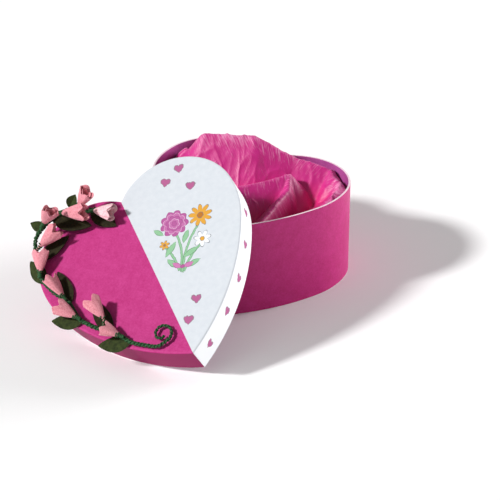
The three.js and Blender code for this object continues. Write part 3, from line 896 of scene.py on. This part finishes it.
# %% Green wrapping paper
leaf_green, tree, shader = new_material("green paper-wrapped wire", 0.62, Specular_IOR_Level=0.35)
place = add(tree, "TexCoord", out=3)
mottle = add(tree, "TexNoise", [("Vector", place), ("Scale", cycles_per_metre(1.2)), ("Detail", 5.0)])
green = add(tree, "Mix", [("Factor", mottle), (6, colour("#0d2a12")), (7, colour("#306a39"))], out=2,
            data_type="RGBA")
tree.links.new(green, shader.inputs["Base Color"])
bump = add(tree, "Bump", [("Strength", 0.6), ("Distance", 0.2 * MM), ("Height", mottle)])
tree.links.new(bump, shader.inputs["Normal"])
print("stem finish:", leaf_green.name)

# %% Three strands make the stem
strands = [strand(0.0, 6.4, 1.0, 1.0), strand(3.1, 6.4, 1.0, 0.95), strand(1.5, -4.7, 1.75, 0.42)]
deselect()
for obj in strands:
    obj.select_set(True)
bpy.context.view_layer.objects.active = strands[0]
bpy.ops.object.join()
stem = bpy.context.object
settle(stem, LID_PLACE)
soften(stem, 60)
finish_piece(stem, "twisted_stem", ["garland_wire"], [leaf_green])

# %% [markdown]
# ## The felt buds
# Each bud is a petal of thin pink felt rolled into a cone on a short stalk, with a second one rolled
# inside it. It opens in rounded lobes with a notch between them. A small circle is pulled out in rings to
# a trumpet, the lobes and folds are pressed in, and the felt gets its thickness. Each bud has its own
# length and is set on the stem where its solid is. Felt is matted wool: it has no gloss, a pale sheen
# where its fibres stand out, and streaks along the petal where it was stretched.

# %% Pink felt
def felt(name, low, high):
    """Felt with streaks that run along the petal, read from the bud's own map."""
    material, tree, shader = new_material(name, 0.95, Specular_IOR_Level=0.2, Sheen_Weight=0.3,
                                          Sheen_Roughness=0.5)
    wrap = add(tree, "UVMap", uv_map="wrap")
    drawn = add(tree, "Mapping", [("Vector", wrap), ("Scale", (0.6, 0.14, 1))])
    wool = add(tree, "TexNoise", [("Vector", drawn), ("Scale", 1.0), ("Detail", 6.0), ("Roughness", 0.7)])
    place = add(tree, "TexCoord", out=3)
    fuzz = add(tree, "TexNoise", [("Vector", place), ("Scale", cycles_per_metre(1.1)), ("Detail", 4.0)])
    both = add(tree, "Math", [(0, wool), (1, fuzz)], operation="ADD")
    share = add(tree, "MapRange", [("Value", both), ("From Min", 0.75), ("From Max", 1.25)])
    dye = add(tree, "Mix", [("Factor", share), (6, colour(low)), (7, colour(high))], out=2, data_type="RGBA")
    tree.links.new(dye, shader.inputs["Base Color"])
    bump = add(tree, "Bump", [("Strength", 0.6), ("Distance", 0.35 * MM), ("Height", both)])
    tree.links.new(bump, shader.inputs["Normal"])
    return material


pink_felt = felt("pink wool felt", "#d07683", "#f0a4af")
pale_felt = felt("pale pink wool felt", "#e5a3ae", "#f7dadd")
print("bud finishes:", pink_felt.name, pale_felt.name)

# %% Sizes and places of the buds
BUD_MOUTH = 7.5
BUD_FOOT = 0.9
BUD_NOTCH, NOTCH_WIDTH = 0.2, 0.36
LOBE_TOP, LOBE_ROUNDING = 0.6, 0.15
INNER_SHARE, INNER_TURN = 0.68, 1.3
FELT_THICKNESS = 0.7
BROAD_FOLD, FINE_FOLD = 0.055, 0.03
NOTCH_PINCH, LIP_FLARE = 0.17, 0.1
BUD_FLATTENING = 0.66
BUD_LIFT = STEM_RADIUS + STEM_CLEARANCE + BUD_FOOT
BUDS = [
    (0.002, -46, 10, 10, 28, 3, 0), (0.104, -40, 11, 40, 33, 3, 0), (0.042, -8, 46, 20, 27, 3, 0),
    (0.166, -10, 45, 80, 25, 3, 0), (0.249, 8, 14, 30, 31, 6, 0), (0.337, 61, 14, 0, 25, 3, 0),
    (0.466, 100, 12, 50, 28, 3, 0), (0.552, 123, 13, 10, 26, 3, 0), (0.642, 99, 18, 0, 31, 7.5, -6),
    (0.712, 128, 12, 30, 21, 3, 0),
]


def mouth_radius(x, length, stalk):
    """The trumpet's radius in mm at a distance from its root: a thin stalk and then a fast flare."""
    s = max(0.0, (x - stalk) / (length - stalk))
    return max(BUD_FOOT, BUD_MOUTH * (0.1 + 0.9 * math.sin(s * math.pi / 2) ** 0.85))


# %% One petal
def petal(stations, length, stalk, size, turn):
    """A trumpet along +X in mm with two round lobes, a notch on each side between them and soft folds."""
    deselect()
    wide = size * mouth_radius(stations[0], length, stalk)
    bpy.ops.mesh.primitive_circle_add(vertices=40, radius=wide * MM, location=(stations[0] * MM, 0, 0),
                                      rotation=(0, math.pi / 2, 0))
    obj = bpy.context.object
    bpy.ops.object.transform_apply(location=True, rotation=True, scale=True)
    edit("EDGE")
    for low, x in zip(stations, stations[1:]):
        bpy.ops.mesh.extrude_edges_move(TRANSFORM_OT_translate={"value": ((x - low) * MM, 0, 0)})
        k = size * mouth_radius(x, length, stalk) / wide
        bpy.ops.transform.resize(value=(1, k, k), center_override=(x * MM, 0, 0))
        wide *= k
    leave()
    for v in obj.data.vertices:
        s = max(0.0, (v.co.x / MM - stalk) / (length - stalk))
        angle = math.atan2(v.co.z, v.co.y) + turn
        level = abs(math.cos(angle))
        notch = math.exp(-(level / NOTCH_WIDTH) ** 2)
        outside = max(0.0, (level - LOBE_TOP) / (1 - LOBE_TOP))
        v.co.x -= length * MM * s ** 3 * (BUD_NOTCH * notch + LOBE_ROUNDING * outside ** 2)
        fold = BROAD_FOLD * math.sin(5 * angle + length) + FINE_FOLD * math.sin(9 * angle)
        pinch = 1 + s * (fold - NOTCH_PINCH * notch * math.sin(angle)) + LIP_FLARE * s ** 6
        v.co.y *= pinch
        v.co.z *= pinch
    face_out(obj)
    return obj


# %% One bud of two petals
def bud_shape(length, stalk, bend):
    """An outer petal with a smaller one rolled inside it, flattened and with the stalk bent to one side."""
    flare = length - stalk
    outer = petal([0, stalk] + [stalk + flare * s for s in np.linspace(0.06, 1, 15)], length, stalk, 1, 0)
    inner = petal([stalk + flare * s for s in np.linspace(0.3, 0.95, 9)], length, stalk,
                  INNER_SHARE, INNER_TURN)
    deselect()
    inner.select_set(True)
    outer.select_set(True)
    bpy.context.view_layer.objects.active = outer
    bpy.ops.object.join()
    bud = bpy.context.object
    wrap = bud.data.uv_layers[0] if bud.data.uv_layers else bud.data.uv_layers.new(name="wrap")
    wrap.name = "wrap"
    for loop, corner in zip(bud.data.loops, wrap.data):
        x, y, z = bud.data.vertices[loop.vertex_index].co / MM
        corner.uv = (math.atan2(z, y) * 5, x)
    for v in bud.data.vertices:
        v.co.z *= BUD_FLATTENING
        v.co.y += bend * MM * min(1.0, max(0.0, v.co.x / MM / stalk))
    return bud


# %% Ten buds on the stem
def growth(share, point, rise, roll, lift):
    """The turn and place of a bud or leaf that grows from the stem."""
    spot, forward = stem_at(share)
    return (LID_PLACE @ Matrix.Translation((spot + Vector((0, 0, lift))) * MM) @ turned("Z", point)
            @ turned("Y", -rise) @ turned("X", roll))


for number, (share, point, rise, roll, length, stalk, bend) in enumerate(BUDS, 1):
    bud = bud_shape(length, stalk, bend)
    modify(bud, "SOLIDIFY", thickness=FELT_THICKNESS * MM, offset=-1)
    modify(bud, "SUBSURF", levels=1, render_levels=1)
    settle(bud, growth(share, point, rise, roll, BUD_LIFT))
    soften(bud, 60)
    finish_piece(bud, f"felt_bud_{number}", [f"flower_{number}"],
                 [pale_felt if number == 1 else pink_felt])

# %% [markdown]
# ## Calyx wraps
# A strand of the green paper is wound four times round the foot of each bud and holds it to the stem. It
# is a short coil that widens with the cone of felt.

# %% Wind a calyx round each bud
CALYX_TURNS = 4.2
CALYX_START, CALYX_PAST_STALK = -0.6, 3.4
CALYX_STRAND = 0.95
CALYX_STEPS = 90


def calyx(length, stalk, bend):
    """Four turns of a strand that hug the stalk and the foot of the flare."""
    points, radii = [], []
    for k in range(CALYX_STEPS + 1):
        share = k / CALYX_STEPS
        x = CALYX_START + (stalk + CALYX_PAST_STALK) * share
        turn = 2 * math.pi * CALYX_TURNS * share
        reach = mouth_radius(x, length, stalk) + 0.35 + 0.25 * noise.noise(Vector((share * 9, length, 0)))
        middle = bend * min(1.0, max(0.0, x / stalk))
        points.append(Vector((x, middle + reach * math.cos(turn), reach * 0.8 * math.sin(turn))))
        uneven = 1 + 0.3 * noise.noise(Vector((share * 14, 0, length)))
        radii.append(CALYX_STRAND * (1 - 0.4 * share) * uneven)
    return tube("calyx", points, radii)


for number, (share, point, rise, roll, length, stalk, bend) in enumerate(BUDS, 1):
    wrap = calyx(length, stalk, bend)
    settle(wrap, growth(share, point, rise, roll, BUD_LIFT))
    soften(wrap, 60)
    finish_piece(wrap, f"calyx_wrap_{number}", [], [leaf_green])

# %% [markdown]
# ## The velvet leaves
# The leaves are die-cut from dark green velvet ribbon: pointed ovals, pressed along the middle. The short
# pile swallows light, so the green is nearly black, mottled where the pile lies another way, with a faint
# sheen. A grid is drawn in to the oval, creased along its middle and given the ribbon's thickness.

# %% Green velvet
def velvet(name, low, high):
    material, tree, shader = new_material(name, 0.85, Specular_IOR_Level=0.2, Sheen_Weight=0.25,
                                          Sheen_Roughness=0.35)
    place = add(tree, "TexCoord", out=3)
    nap = add(tree, "TexNoise", [("Vector", place), ("Scale", cycles_per_metre(3.5)), ("Detail", 6.0),
                                 ("Roughness", 0.65)])
    share = add(tree, "MapRange", [("Value", nap), ("From Min", 0.35), ("From Max", 0.68)])
    dye = add(tree, "Mix", [("Factor", share), (6, colour(low)), (7, colour(high))], out=2, data_type="RGBA")
    tree.links.new(dye, shader.inputs["Base Color"])
    bump = add(tree, "Bump", [("Strength", 0.5), ("Distance", 0.25 * MM), ("Height", nap)])
    tree.links.new(bump, shader.inputs["Normal"])
    return material


olive_velvet = velvet("olive green velvet", "#222c12", "#3d4821")
dark_velvet = velvet("dark brown-green velvet", "#1c190b", "#332f16")
print("leaf finishes:", olive_velvet.name, dark_velvet.name)

# %% Sizes and places of the leaves, and one leaf
LEAVES = [
    (0.006, -60, -2, 0, 30.9, 15, 0, False), (0.131, -38, -9, 5, 37.5, 16, 1, False),
    (0.067, 20, 30, 20, 13.5, 10, 1.5, True), (0.167, 126, 8, -10, 15, 10, -1.5, False),
    (0.275, 13, 1, 0, 35, 14, 1, False), (0.355, 98, 1, -6, 29, 14, -1, False),
    (0.479, 88, 0, 0, 38, 15, -0.3, False), (0.555, 146, 0, -4, 30, 15, -1, False),
    (0.663, 94, 0, 0, 41, 15, -0.3, False), (0.734, 153, 0, -4, 30, 15, -1, False),
]
LEAF_THICKNESS = 0.8
LEAF_TIP, LEAF_RIPPLE = 0.3, 0.35
GROOVE_DEPTH, GROOVE_WIDTH = 0.25, 0.12
OLIVE_LEAVES = (3, 4, 6, 8, 10)


def leaf_shape(length, width, crease):
    """A pointed oval along +X, creased along its middle, in mm."""
    deselect()
    bpy.ops.mesh.primitive_grid_add(x_subdivisions=26, y_subdivisions=12, size=2)
    obj = bpy.context.object
    for v in obj.data.vertices:
        along, aside = (v.co.x + 1) / 2, v.co.y
        share = 0.01 + 0.98 * along
        half = max(width / 2 * math.sin(math.pi * share ** 0.85) ** 0.8, LEAF_TIP)
        ripple = LEAF_RIPPLE * noise.noise(Vector((share * 6, aside, length)))
        groove = GROOVE_DEPTH * math.exp(-(aside / GROOVE_WIDTH) ** 2)
        v.co = Vector((share * length, aside * half, crease * abs(aside) * half / (width / 2)
                       + ripple * abs(aside) - groove)) * MM
    return obj


# %% Ten leaves on the stem
for number, (share, point, rise, roll, length, width, crease, over) in enumerate(LEAVES, 1):
    leaf = leaf_shape(length, width, crease)
    modify(leaf, "SOLIDIFY", thickness=LEAF_THICKNESS * MM, offset=-1)
    lift = STEM_RADIUS + STEM_CLEARANCE + (LEAF_THICKNESS if over else 0)
    settle(leaf, growth(share, point, rise, roll, lift if over else -lift))
    soften(leaf, 50)
    finish_piece(leaf, f"velvet_leaf_{number}", [f"leaf_{number}"],
                 [olive_velvet if number in OLIVE_LEAVES else dark_velvet])
